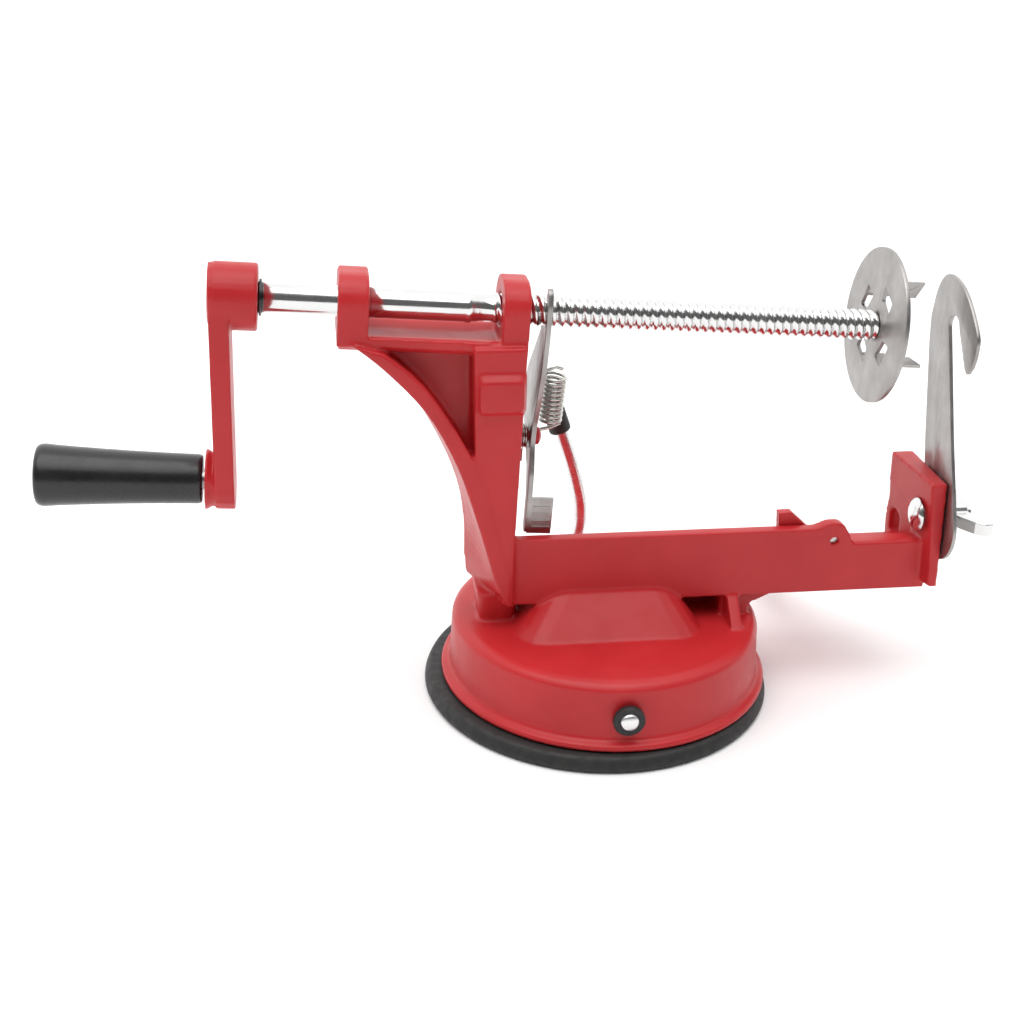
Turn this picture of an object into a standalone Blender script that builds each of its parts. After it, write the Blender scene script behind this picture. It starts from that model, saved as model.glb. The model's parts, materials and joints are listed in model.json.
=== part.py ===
"""Apple peeler corer on a suction base: a crank drives a double-start screw that carries a fork,
a release lever rides on the screw, a swinging arm peels and a hooked blade slices and cores.

Every size below is in millimetres; build() turns them into metres. World frame: +X runs from the
crank towards the blade, +Y away from the crank's user, +Z up, origin under the middle of the pad.
The screw and all that turns on it lie on a line that drops a little towards +X (SHAFT)."""

import math

import bmesh
import bpy
from mathutils import Matrix, Vector

MM = 0.001

# Suction base
PAD_RADIUS = 54.7
PAD_HEIGHT = 4.7
DRUM_X = 2.2
FLANGE_RADIUS = 51.75
DRUM_RADIUS = 49.0
DRUM_TOP_RADIUS = 46.9
DRUM_TOP = 25.6
DRUM_FOOT = 5.0
DRUM_WALL = 2.6

# Screw line
SHAFT_HEIGHT = 121.9
SHAFT_DROP = math.radians(3.7)
SHAFT_RADIUS = 4.3
SCREW_RADIUS = 4.62
SCREW_ROOT = 3.75
SCREW_PITCH = 2.5
SCREW_STARTS = 2
BORE_CLEARANCE = 0.06

# Casting
BEAM_FACE = -11.0
BEAM_TOP = 55.2
BEAM_FOOT = 33.4
BEAM_WALL = 4.0
BEAM_END = 102.8
STEP_TOP = 50.0
SADDLE_TOP = 9.2
SADDLES = ((-79.3, -70.7), (-33.2, -25.5))
BLOCK_FACE = 104.0
BLOCK_TOP = 70.0
EAR = (71.4, 50.8)

# Crank
HUB = (-114.8, -101.1)
HUB_RADIUS = 9.5
CRANK_THROW = 55.5
GRIP = (-163.0, -116.3)

# Fork
FORK_FACE = 79.6
FORK_RADIUS = 23.0
FORK_THICKNESS = 1.2
PRONG_TWIST = math.radians(-18)

# Release lever
RELEASE_FACE = -20.2
RELEASE_THICKNESS = 1.4
RELEASE_PIVOT = (6.0, -41.0)

# Suction lever
LEVER_X = 0.3
LEVER_Z = 15.4
LEVER_RADIUS = 2.75
LEVER_REACH = 60.5
CAM_RADIUS = 5.0
CAM_OFFSET = 1.5

# Peeling arm
PEELER_AXIS = (17.5, 38.0)
PEELER_LENGTH = 44.0
PEELER_REST = math.radians(-40)
PEELER_SPAN = (66.4, 81.6)

# Slicing blade
BOLT = (-7.5, 57.5)
BLADE_TILT = math.radians(18)
BLADE_FACE = 104.4
BLADE_THICKNESS = 1.2
WING_TURN = 90.0

SHAFT = Matrix.Translation((0, 0, SHAFT_HEIGHT)) @ Matrix.Rotation(SHAFT_DROP, 4, "Y")
WORLD = Matrix.Identity(4)


# ---------------------------------------------------------------- materials


def material(name, colour, roughness, metallic):
    made = bpy.data.materials.new(name)
    made.use_nodes = True
    shader = made.node_tree.nodes["Principled BSDF"]
    shader.inputs["Base Color"].default_value = (*colour, 1)
    shader.inputs["Roughness"].default_value = roughness
    shader.inputs["Metallic"].default_value = metallic
    return made


RED = ((0.45, 0.022, 0.03), 0.38, 0.0)
STEEL = ((0.55, 0.54, 0.52), 0.32, 1.0)
CHROME = ((0.75, 0.75, 0.75), 0.12, 1.0)
BLACK = ((0.02, 0.02, 0.02), 0.5, 0.0)


# ---------------------------------------------------------------- mesh helpers


def build(name, points, faces, look, place=WORLD):
    """An object from points in millimetres; place is in millimetres too and becomes its transform."""
    mesh = bpy.data.meshes.new(name)
    mesh.from_pydata([[c * MM for c in point] for point in points], [], faces)
    work = bmesh.new()
    work.from_mesh(mesh)
    bmesh.ops.recalc_face_normals(work, faces=work.faces)
    if work.calc_volume(signed=True) < 0:
        bmesh.ops.reverse_faces(work, faces=work.faces)
    work.to_mesh(mesh)
    work.free()
    mesh.shade_smooth()
    mesh.set_sharp_from_angle(angle=math.radians(35))
    made = bpy.data.objects.new(name, mesh)
    bpy.context.scene.collection.objects.link(made)
    where, turn, _ = place.decompose()
    made.matrix_world = Matrix.Translation(where * MM) @ turn.to_matrix().to_4x4()
    if look:
        mesh.materials.append(material(name, *look))
    return made


def loft(name, rings, look, place=WORLD):
    """A solid whose skin runs through rings of the same number of points, capped at both ends."""
    size = len(rings[0])
    points = [point for ring in rings for point in ring]
    faces = [list(range(size)), list(range((len(rings) - 1) * size, len(rings) * size))]
    for k in range(len(rings) - 1):
        for i in range(size):
            j = (i + 1) % size
            faces.append([k * size + i, k * size + j, (k + 1) * size + j, (k + 1) * size + i])
    return build(name, points, faces, look, place)


def lathe(name, profile, look, place=WORLD, segments=32, closed=False):
    """A turned solid. profile holds (radius, height) along +Z; closed makes it a ring-shaped one."""
    turns = [2 * math.pi * i / segments for i in range(segments)]
    points, rings, faces = [], [], []
    for radius, height in profile:
        if radius == 0:
            rings.append([len(points)] * segments)
            points.append((0, 0, height))
        else:
            rings.append(list(range(len(points), len(points) + segments)))
            points += [(radius * math.cos(a), radius * math.sin(a), height) for a in turns]
    pairs = list(zip(rings, rings[1:]))
    if closed:
        pairs.append((rings[-1], rings[0]))
    elif profile[0][0] or profile[-1][0]:
        faces += [ring for ring, (radius, _) in ((rings[0], profile[0]), (rings[-1], profile[-1])) if radius]
    for low, high in pairs:
        for i in range(segments):
            j = (i + 1) % segments
            corners = [low[i], low[j], high[j], high[i]]
            faces.append(list(dict.fromkeys(corners)))
    return build(name, points, [face for face in faces if len(face) > 2], look, place)


def washer(name, outer, inner, low, high, look, place=WORLD, segments=32):
    return lathe(name, [(inner, low), (outer, low), (outer, high), (inner, high)], look, place, segments, True)


def disc(name, radius, low, high, look, place=WORLD, segments=32):
    return lathe(name, [(0, low), (radius, low), (radius, high), (0, high)], look, place, segments)


def slab(name, outline, low, high, axis, look, place=WORLD):
    """An outline pushed from low to high along an axis; its pairs are the other two, in X, Y, Z order."""
    put = {"X": lambda a, b, d: (d, a, b), "Y": lambda a, b, d: (a, d, b), "Z": lambda a, b, d: (a, b, d)}
    rings = [[put[axis](a, b, depth) for a, b in outline] for depth in (low, high)]
    return loft(name, rings, look, place)


def box(name, low, high, look, place=WORLD):
    outline = [(low[1], low[2]), (high[1], low[2]), (high[1], high[2]), (low[1], high[2])]
    return slab(name, outline, low[0], high[0], "X", look, place)


def arc(centre, radius, start, end, steps):
    """Points on a circle from start to end, in degrees."""
    turns = [math.radians(start + (end - start) * i / steps) for i in range(steps + 1)]
    return [(centre[0] + radius * math.cos(a), centre[1] + radius * math.sin(a)) for a in turns]


def smooth(route, per_span=6, ring=False):
    """Points of a Catmull-Rom curve through the route's own points."""
    knots = [Vector(point) for point in route]
    count = len(knots)
    made = []
    for i in range(count if ring else count - 1):
        if ring:
            a, b, c, d = (knots[(i + k) % count] for k in (-1, 0, 1, 2))
        else:
            a, b, c, d = (knots[min(max(i + k, 0), count - 1)] for k in (-1, 0, 1, 2))
        for step in range(per_span):
            t = step / per_span
            bend = (2 * a - 5 * b + 4 * c - d) * t**2 + (3 * b - a - 3 * c + d) * t**3
            made.append(0.5 * (2 * b + (c - a) * t + bend))
    if not ring:
        made.append(knots[-1])
    return made


def wire(name, route, radius, look, place=WORLD, sides=8):
    """A round wire or rod along a route of points, with flat ends."""
    route = [Vector(point) for point in route]
    tangents = []
    for i in range(len(route)):
        tangents.append((route[min(i + 1, len(route) - 1)] - route[max(i - 1, 0)]).normalized())
    side = tangents[0].orthogonal().normalized()
    rings = []
    for point, tangent in zip(route, tangents):
        side = (side - tangent * side.dot(tangent)).normalized()
        other = tangent.cross(side)
        turns = [2 * math.pi * k / sides for k in range(sides)]
        rings.append([tuple(point + radius * (side * math.cos(a) + other * math.sin(a))) for a in turns])
    return loft(name, rings, look, place)


def coil(radius, start, end, turns, steps=12, phase=0.0):
    """Points of a helix about +Z."""
    count = round(turns * steps)
    made = []
    for i in range(count + 1):
        angle = phase + 2 * math.pi * turns * i / count
        made.append((radius * math.cos(angle), radius * math.sin(angle), start + (end - start) * i / count))
    return made


def merge(target, other, operation="UNION"):
    """Joins other to target, or cuts it away, and keeps it as a hidden guide."""
    change = target.modifiers.new(other.name, "BOOLEAN")
    change.operation = operation
    change.object = other
    other.hide_render = True
    other.display_type = "WIRE"
    return target


def cut(target, other):
    return merge(target, other, "DIFFERENCE")


def along(place, origin, direction, side=(0, 1, 0)):
    """A frame at origin whose +Z is direction, inside place."""
    z = Vector(direction).normalized()
    x = Vector(side).cross(z).normalized()
    turn = Matrix((x, z.cross(x), z)).transposed().to_4x4()
    return place @ Matrix.Translation(origin) @ turn


def on_shaft(t=0.0, h=0.0):
    """The frame whose +Z runs along the screw line, t beside it and h above it."""
    return along(SHAFT, (0, t, h), (1, 0, 0))


def across(x, z):
    """The frame whose +Z runs along world +Y through (x, z)."""
    return along(WORLD, (x, 0, z), (0, 1, 0), side=(0, 0, 1))


def beside(y, z):
    """The frame whose +Z runs along world +X through (y, z)."""
    return along(WORLD, (0, y, z), (1, 0, 0))


def axis_empty(name, place):
    """An empty on a joint's axis, its +Z along it."""
    made = bpy.data.objects.new(name, None)
    bpy.context.scene.collection.objects.link(made)
    where, turn, _ = place.decompose()
    made.matrix_world = Matrix.Translation(where * MM) @ turn.to_matrix().to_4x4()
    bpy.context.view_layer.update()
    return made


def hang(empty, *pieces):
    for piece in pieces:
        placed = piece.matrix_world.copy()
        piece.parent = empty
        piece.matrix_parent_inverse = empty.matrix_world.inverted()
        piece.matrix_world = placed


# ---------------------------------------------------------------- base


def suction_pad():
    profile = [
        (0, 0), (22, 0), (25, 1.4), (43, 1.4), (46, 0), (54.1, 0), (PAD_RADIUS, 0.8), (54.3, 3.0),
        (52.9, PAD_HEIGHT), (47, PAD_HEIGHT), (44, 3.3), (0, 3.3),
    ]
    return lathe("suction_pad", profile, BLACK, segments=48)


def drum():
    """The housing of the suction base, open underneath."""
    inner = DRUM_RADIUS - DRUM_WALL
    ceiling = DRUM_TOP - DRUM_WALL
    profile = [
        (inner, DRUM_FOOT), (FLANGE_RADIUS - 0.5, DRUM_FOOT), (FLANGE_RADIUS, DRUM_FOOT + 0.6),
        (FLANGE_RADIUS - 0.2, 7.0), (DRUM_RADIUS + 0.3, 7.8), (DRUM_RADIUS, 9.0), (DRUM_TOP_RADIUS + 1.3, 23.6),
        (DRUM_TOP_RADIUS, 25.1), (DRUM_TOP_RADIUS - 2.0, DRUM_TOP), (0, DRUM_TOP), (0, ceiling),
        (inner - 2.5, ceiling), (inner - 1.0, ceiling - 1.5), (inner, 10.0),
    ]
    return lathe("frame_casting", profile, RED, Matrix.Translation((DRUM_X, 0, 0)), 48, True)


def rect_ring(x0, x1, y0, y1, z, corner=2.5):
    """A rectangle's outline with rounded corners, as a ring at height z."""
    made = []
    for cx, cy, start in ((x1, y1, 0), (x0, y1, 90), (x0, y0, 180), (x1, y0, 270)):
        centre = (cx - corner if cx == x1 else cx + corner, cy - corner if cy == y1 else cy + corner)
        made += [(a, b, z) for a, b in arc(centre, corner, start, start + 90, 3)]
    return made


# ---------------------------------------------------------------- casting


def rounded_top(half, foot, top, corner):
    """A saddle's outline beside and above the screw line: square below, rounded over the top."""
    right = arc((half - corner, top - corner), corner, 0, 90, 6)
    left = arc((corner - half, top - corner), corner, 90, 180, 6)
    return [(-half, foot), (half, foot)] + right + left


def beam_outline():
    """The near web of the beam, with its ear and the step beyond it."""
    ear = [(77.5, STEP_TOP), (76.2, 52.8), (74.6, 55.4), (73.4, 56.5), (71.8, 57), (69.3, 56.9), (67.6, 56.3), (66, 55.6)]
    return [(-30, BEAM_FOOT), (BEAM_END, BEAM_FOOT), (BEAM_END, STEP_TOP)] + ear + [(64, BEAM_TOP), (-30, BEAM_TOP)]


def rib_edge(knots, per_span, end=()):
    return [(point[0], point[1]) for point in smooth([(x, z, 0) for x, z in knots], per_span)] + list(end)


def rib_outlines():
    """The swept rib at its near edge and at its far edge, which stands further out."""
    near = rib_edge([(-75.4, 117.9), (-66.6, 110.4), (-54.9, 97.3), (-46.1, 80.5), (-40.0, 62), (-36.4, 49.5),
                     (-34.8, 44)], 4, [(-32.8, 38.4), (-30.3, 33.2)])
    near += rib_edge([(-30.2, 44), (-34.4, 58), (-38.6, 73.6), (-42.8, 85.2), (-54.9, 104.8), (-66.5, 115.2)], 3)
    far = rib_edge([(-77.2, 113.4), (-64.6, 103.2), (-56.6, 93.9), (-48.6, 78.9), (-43.9, 65.8), (-42.1, 53),
                    (-41.9, 42)], 4, [(-41.2, 35.4), (-31.4, 32.4)])
    far += rib_edge([(-31, 46), (-36.6, 60), (-40.6, 74), (-45.8, 86.8), (-56.2, 101.6), (-67, 113.4)], 3)
    return near, far


def frame_casting():
    casting = drum()
    add = lambda piece: merge(casting, piece)
    add(slab("beam_web", beam_outline(), BEAM_FACE, BEAM_FACE + BEAM_WALL, "Y", None))
    add(box("beam_floor", (-32, BEAM_FACE + 0.2, BEAM_FOOT), (BEAM_END - 0.5, 11, BEAM_FOOT + BEAM_WALL), None))
    add(box("beam_far_web", (-32, 7.2, BEAM_FOOT + 0.3), (BEAM_END - 0.2, 10.8, 43), None))
    add(box("beam_step", (76.9, BEAM_FACE + 0.1, BEAM_FOOT + 0.2), (BEAM_END - 0.3, -4, STEP_TOP - 0.1), None))
    add(loft("boss", [rect_ring(-29.5, 30.5, -24.3, 21.7, 24.2, 8), rect_ring(-17.5, 21, -10.9, 10.7, 37.2, 6)], None))
    add(loft("neck", [rect_ring(-38, -28, -6.5, 6.5, 24.4), rect_ring(-39.5, -25.5, -8, 8, 36)], None))
    add(box("boss_wall", (18, 2, 24.1), (40.5, 8.7, 34.2), None))
    add(slab("fin", [(-11, 34.2), (-21, 24.3), (9, 24.3), (9, 34.2)], 38.4, 42, "X", None))
    add(slab("gusset", [(37, 24.5), (46.2, 24.5), (46.9, 29.3), (57.5, 34), (37, 34)], -8.8, 8.8, "Y", None))
    post = [(-28.7, 33), (-28.7, 57), (-26.3, 116), (-41.6, 116), (-41.0, 76), (-37.4, 60), (-33.9, 46), (-31, 36)]
    add(slab("post", post, -13, 10.6, "Y", None))
    lowered = lambda ring: [(x, y, z) for x, z, y in ring]
    pad_rings = [rect_ring(-41.3, -26.2, 96, 109.3, -12, 1.5), rect_ring(-39.6, -27.6, 97.6, 106.8, -15.3, 1.5)]
    add(loft("post_pad", [lowered(ring) for ring in pad_rings], None))
    near, far = rib_outlines()
    middle = [((a[0] + b[0]) / 2 + 1.6, (a[1] + b[1]) / 2 + 0.9) for a, b in zip(near[:25], far[:25])]
    add(slab("web", middle + [(-30.3, 50), (-30.3, 114), (-68, 115)], -3.4, 3.4, "Y", None))
    add(loft("rib", [[(x, -13.5, z) for x, z in near], [(x, 9, z) for x, z in far]], None))
    trough = [(-11, -9.7), (-8.5, -11.6), (8.5, -11.6), (11, -9.7), (11, -7.1), (8.5, -7.1), (4, -8.6), (-4, -8.6),
              (-8.5, -7.1), (-11, -7.1)]
    add(slab("shelf", trough, SADDLES[0][0] + 0.4, SADDLES[1][1] - 0.4, "X", None, SHAFT))
    for number, (near, far) in enumerate(SADDLES):
        outline = rounded_top(11.2 - 0.2 * number, -9.9 - 2.4 * number, SADDLE_TOP, 8.2)
        add(slab(f"saddle_{number}", outline, near, far, "X", None, SHAFT))
    ends = [(-17.1, 36.6), (14.6, BEAM_FOOT), (15, 47.5), (13.6, 53.5), (14.3, BLOCK_TOP), (-13.9, BLOCK_TOP)]
    leaning = [(98.0 + 2.0 * (BLOCK_TOP - z) / (BLOCK_TOP - BEAM_FOOT) - 0.086 * y, y, z) for y, z in ends]
    add(loft("end_block", [leaning, [(BLOCK_FACE, y, z) for y, z in ends]], None))
    for side, reach in ((0, 63.2), (1, 83.0)):
        ear = [(10, 36), (20, 33.6)] + arc(PEELER_AXIS, 4.6, -55, 140, 8) + [(10, 42.6)]
        add(slab(f"peeler_ear_{side}", ear, reach, reach + 2.9, "X", None))
    shaft_bore = (SCREW_RADIUS + BORE_CLEARANCE) / math.cos(math.pi / 32)
    cut(casting, disc("shaft_bore", shaft_bore, -90, -10, None, on_shaft()))
    cut(casting, disc("lever_bore", (LEVER_RADIUS + 0.06) / math.cos(math.pi / 24), -60, 60, None, across(LEVER_X, LEVER_Z), 24))
    cut(casting, disc("latch_bore", 1.26 / math.cos(math.pi / 16), -14, -4, None, across(*EAR), 16))
    cut(casting, disc("bolt_bore", 2.75, 95, 108, None, beside(*BOLT), 24))
    arch = arc((8.2, 49), 3, 0, 180, 8) + [(5.2, 43.2), (11.2, 43.2)]
    cut(casting, slab("spare_hole", arch, 95, 108, "X", None))
    cut(casting, disc("peeler_bore", 2.06 / math.cos(math.pi / 16), 60, 90, None, beside(*PEELER_AXIS), 16))
    pivot_hole = along(SHAFT, (0, *RELEASE_PIVOT), (1, 0, 0))
    cut(casting, disc("pivot_hole", 1.66, -31, -20, None, pivot_hole, 16))
    return casting


# ---------------------------------------------------------------- crank


def crank():
    """The crank casting: a hub on the screw line, a tapered arm and the foot of the handle."""
    turn = on_shaft()
    low, high = HUB
    profile = [(0, low), (HUB_RADIUS - 1.6, low), (HUB_RADIUS, low + 1.6), (HUB_RADIUS, high - 0.5),
               (HUB_RADIUS - 0.5, high), (0, high)]
    hub = lathe("crank_arm", profile, RED, turn, 34)
    foot = -CRANK_THROW
    outline = arc((0, 0), HUB_RADIUS - 0.3, 10, 170, 8) + arc((0, foot), 8.7, 190, 350, 8)
    rings = [[(x, t, h) for t, h in outline] for x in (-114.5, -108.9)]
    lean = lambda x, t, h: (x + 2.0 * h / foot, t, h)
    merge(hub, loft("arm", [[lean(*point) for point in ring] for ring in rings], None, SHAFT))
    pad = [(0, -115.4), (8.9, -115.4), (8.9, -114.9), (7.9, -113.4), (7.9, -110), (0, -110)]
    merge(hub, lathe("handle_foot", pad, None, on_shaft(0, foot), 36))
    cut(hub, disc("hub_bore", SHAFT_RADIUS + 0.3, -112.5, -95, None, turn, 30))
    cut(hub, disc("bolt_hole", 3.3, -120, -109.6, None, on_shaft(0, foot), 22))
    cut(hub, disc("pin_hole", 1.8, 2, 20, None, along(SHAFT, (-106, 0, 0), (0, 1, 0), (0, 0, 1)), 16))
    return hub


def drive_screw():
    """Smooth rod, a stepped neck, and a double-start thread out to the fork: one turned piece."""
    start, end, cap = -40.2, FORK_FACE - 0.3, 1.2
    rows_per_pitch, columns = 4, 16
    lead = SCREW_PITCH * SCREW_STARTS
    levels = [SCREW_ROOT, SCREW_RADIUS, SCREW_RADIUS, SCREW_ROOT]
    offsets = [0.0, 0.22, 0.62, 0.84]
    points, faces = [], []
    pitches = math.ceil((end - start + 4 * lead) / SCREW_PITCH)
    rows = pitches * rows_per_pitch
    for row in range(rows):
        pitch, part = divmod(row, rows_per_pitch)
        for column in range(columns):
            x = start - 2 * lead + (pitch + offsets[part] + SCREW_STARTS * column / columns) * SCREW_PITCH
            angle = 2 * math.pi * column / columns
            points.append((levels[part] * math.cos(angle), levels[part] * math.sin(angle), x))
    wrap = SCREW_STARTS * rows_per_pitch
    for row in range(rows - 1):
        for column in range(columns - 1):
            a = row * columns + column
            faces.append([a, a + 1, a + 1 + columns, a + columns])
        if row + 1 + wrap < rows:
            a, b = row * columns + columns - 1, (row + wrap) * columns
            faces.append([a, b, b + columns, a + columns])
    screw = build("drive_screw", points, faces, STEEL, on_shaft())
    work = bmesh.new()
    work.from_mesh(screw.data)
    for level, keep in ((start, 1), (end, -1)):
        geometry = work.verts[:] + work.edges[:] + work.faces[:]
        bmesh.ops.bisect_plane(work, geom=geometry, dist=1e-7, plane_co=(0, 0, level * MM),
                               plane_no=(0, 0, keep), clear_inner=True)
        rim = [edge for edge in work.edges if edge.is_boundary and
               all(abs(vert.co.z - level * MM) < 1e-6 for vert in edge.verts)]
        bmesh.ops.contextual_create(work, geom=rim)
    bmesh.ops.recalc_face_normals(work, faces=work.faces)
    work.to_mesh(screw.data)
    work.free()
    step = [(0, -112), (SHAFT_RADIUS, -112), (SHAFT_RADIUS, -43), (SHAFT_RADIUS + 0.3, -42.6), (SHAFT_RADIUS + 0.3, -41.8),
            (SHAFT_RADIUS - 0.2, -41.4), (SHAFT_RADIUS - 0.2, start + cap), (0, start + cap)]
    merge(screw, lathe("rod", step, None, on_shaft()))
    return screw


def handle():
    turn = on_shaft(0, -CRANK_THROW)
    low, high = GRIP
    profile = [(5.7, low + 0.4), (8.0, low), (8.9, low + 1.0), (9.1, low + 2.6), (8.4, low + 12), (7.75, low + 26),
               (7.4, low + 38), (7.2, high - 0.8), (6.6, high), (3.2, high), (3.2, low + 5), (5.7, low + 5)]
    grip = lathe("handle_grip", profile, BLACK, turn, closed=True)
    bolt = lathe("handle_bolt", [(0, low + 1.2), (3.4, low + 1.2), (5.0, low + 2.2), (5.0, low + 4.6), (3.12, low + 4.6),
                                 (3.12, -110), (0, -110)], STEEL, turn, 24)
    return grip, bolt


def fork():
    """The fork disc with its four punched holes, the prongs bent out of them, and the rivet."""
    plate = disc("fork_disc", FORK_RADIUS, FORK_FACE, FORK_FACE + FORK_THICKNESS, STEEL, on_shaft(), 48)
    for number in range(4):
        angle = math.radians(28 + 90 * number)
        out = Vector((math.cos(angle), math.sin(angle)))
        side = Vector((-out.y, out.x))
        window = [(8.6, 4.4), (9.0, -1.2), (12.2, -2.4), (12.6, 3.8)]
        hole = [tuple(out * a + side * b) for a, b in window]
        cut(plate, slab(f"fork_hole_{number}", hole, FORK_FACE - 2, FORK_FACE + 3, "X", None, SHAFT))
        width = (out * math.cos(PRONG_TWIST) + side * math.sin(PRONG_TWIST)) * 2.4
        rings = []
        for depth in (-0.5, 0.5):
            inner = out * 14.8 + Vector((-width.y, width.x)).normalized() * depth - width
            outer = inner + 2 * width
            ends = [(0.6, inner), (8.0, inner), (9.9, outer), (0.6, outer)]
            rings.append([(FORK_FACE + x, *end) for x, end in ends])
        merge(plate, loft(f"prong_{number}", rings, None, SHAFT))
    cut(plate, disc("fork_centre", 2.1, FORK_FACE - 2, FORK_FACE + 3, None, on_shaft(), 24))
    rivet = lathe("fork_rivet", [(0, FORK_FACE + 3.0), (1.6, FORK_FACE + 2.9), (3.6, FORK_FACE + 1.5),
                                 (1.9, FORK_FACE + 1.5), (1.9, FORK_FACE - 0.01), (0, FORK_FACE - 0.01)], STEEL, on_shaft(), 24)
    return plate, rivet


# ---------------------------------------------------------------- release lever


def release_lever():
    """A flat lever that hugs the near side of the screw, with a thumb tab bent out at its foot."""
    hug = SCREW_RADIUS + 0.38
    near = [(-3.0, 7.6), (-5.2, 6.6), (-6.7, 3.0), (-6.9, -8), (-6.3, -17), (-3.6, -26), (0.2, -35), (0.8, -42),
            (-2.6, -50), (-3.2, -58), (-3.2, -69.4)]
    foot = [(0.6, -69.4), (0.8, -58), (4.5, -50), (12.2, -43)]
    far = [(20.5, -35.5), (21.8, -30), (17.6, -22.4), (9.0, -13.2), (2.6, -6.4)]
    outline = near + foot + far + arc((0, 0), hug, -75, -245, 10)[1:]
    low, high = RELEASE_FACE, RELEASE_FACE + RELEASE_THICKNESS
    lever = slab("release_lever", outline, low, high, "X", STEEL, SHAFT)
    merge(lever, box("thumb_tab", (high - 0.8, -3.2, -69.4), (high + 6.6, -1.9, -57.8), None, SHAFT))
    for row in range(5):
        ridge = -67.6 + 2.2 * row
        merge(lever, box(f"ridge_{row}", (high + 0.6, -3.55, ridge), (high + 6.0, -2.9, ridge + 0.9), None, SHAFT))
    cut(lever, disc("lever_eye", 1.57 / math.cos(math.pi / 16), -24, -12, None, on_shaft(*RELEASE_PIVOT), 16))
    return lever


def release_pivot():
    """The stud in the post that the release lever turns on, peened at its end."""
    profile = [(0, -30.4), (1.5, -30.4), (1.5, -24.3), (2.6, -24.3), (2.6, -20.6), (1.5, -20.6), (1.5, -18.5), (2.8, -18.5),
               (2.6, -17.2), (1.3, -16.5), (0, -16.4)]
    return lathe("release_pivot", profile, RED, on_shaft(*RELEASE_PIVOT), 24)


def release_spring():
    """A torsion spring round the stud: one leg rests on the lever, the other on the post."""
    t, h = RELEASE_PIVOT
    turns = coil(3.4, -23.7, -21.1, 3.5, 12, math.radians(100))
    points = [(t + a, h + b, x) for a, b, x in turns]
    upper = [(-23.7, t - 2.2, h + 20), (-23.7, t - 1.4, h + 9)]
    body = [(x, a, b) for a, b, x in points]
    route = upper + body + [(-21.1, t + 4.4, h - 6), (-21.1, t + 4.0, h - 10)]
    return wire("release_spring", route, 0.38, STEEL, SHAFT, 6)


def return_spring():
    """The extension spring between the lever's upper lobe and the post."""
    top, foot = Vector((-13.6, 14, 98.6)), Vector((-15.0, 14, 83.2))
    place = along(WORLD, foot, top - foot, (0, 1, 0))
    route = [tuple(place @ Vector(point)) for point in coil(3.1, 0, (top - foot).length, 10.5, 10)]
    head = [(-16.2, 14, 100.2), (-13.6, 14, 101.2), (-11.4, 14, 100.4)]
    tail = [(-20.6, 14, 80.8), (-18, 14, 81.0), (-14.6, 14, 81.6)]
    return wire("return_spring", tail + route + head, 0.55, STEEL, WORLD, 6)


# ---------------------------------------------------------------- suction lever


def lever_route():
    knots = [(LEVER_X, 50, LEVER_Z), (LEVER_X, 52, LEVER_Z), (LEVER_X, 55, LEVER_Z), (LEVER_X + 0.7, 59.2, LEVER_Z + 1.6),
             (3.4, LEVER_REACH, 20.5), (4.9, LEVER_REACH, 26.5), (4.6, LEVER_REACH, 35), (2.8, LEVER_REACH, 43.5),
             (0.4, LEVER_REACH, 51.5), (-2.6, LEVER_REACH, 60), (-6.6, LEVER_REACH, 72)]
    return smooth(knots, 4)


def suction_lever():
    route = [Vector((LEVER_X, -52.2, LEVER_Z))] + lever_route()
    rod = wire("suction_lever", route, LEVER_RADIUS, CHROME, WORLD, 16)
    centre = (LEVER_X + CAM_OFFSET * math.cos(math.radians(-45)), LEVER_Z + CAM_OFFSET * math.sin(math.radians(-45)))
    cam = disc("lift_cam", CAM_RADIUS, -4, 4, STEEL, across(*centre), 32)
    cut(cam, disc("cam_bore", LEVER_RADIUS + 0.05, -6, 6, None, across(LEVER_X, LEVER_Z), 16))
    lean = Vector((-4.0, 0, 12)).normalized()
    start = Vector((-3.3, LEVER_REACH, 62.0))
    cap = lathe("lever_cap", [(2.82, 0), (3.6, 0), (3.8, 0.8), (3.7, 14.5), (2.6, 16.6), (0, 17.2), (0, 14.6), (2.82, 14.6)],
                BLACK, along(WORLD, start, lean), 24, closed=True)
    retainer = washer("lever_retainer", 4.7, LEVER_RADIUS + 0.05, -51.4, -49.3, BLACK, across(LEVER_X, LEVER_Z), 24)
    return rod, cam, cap, retainer


def pad_lift():
    """The yoke round the cam, its clamp plate over the pad and the nut between them."""
    inner_x, inner_z = CAM_RADIUS + CAM_OFFSET + 0.5, CAM_RADIUS + 0.12
    low_centre = LEVER_Z + CAM_OFFSET * math.sin(math.radians(-45))
    foot, head = low_centre - inner_z - 1.7, low_centre + inner_z + 1.3
    yoke = box("pull_yoke", (LEVER_X - inner_x - 2.2, -3.4, foot), (LEVER_X + inner_x + 2.2, 3.4, head), STEEL)
    window = [(LEVER_X - inner_x, -6, low_centre - inner_z), (LEVER_X + inner_x, 6, low_centre + inner_z)]
    cut(yoke, box("yoke_window", *window, None))
    merge(yoke, disc("stud", 2.4, 3.7, foot + 0.6, None, Matrix.Translation((LEVER_X, 0, 0)), 24))
    here = Matrix.Translation((LEVER_X, 0, 0))
    plate = washer("clamp_plate", 18, 2.5, 3.6, 4.9, STEEL, here, 32)
    nut = washer("clamp_nut", 4.8, 2.9, 5.2, foot - 0.3, STEEL, here, 6)
    return yoke, plate, nut


# ---------------------------------------------------------------- peeling arm


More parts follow.
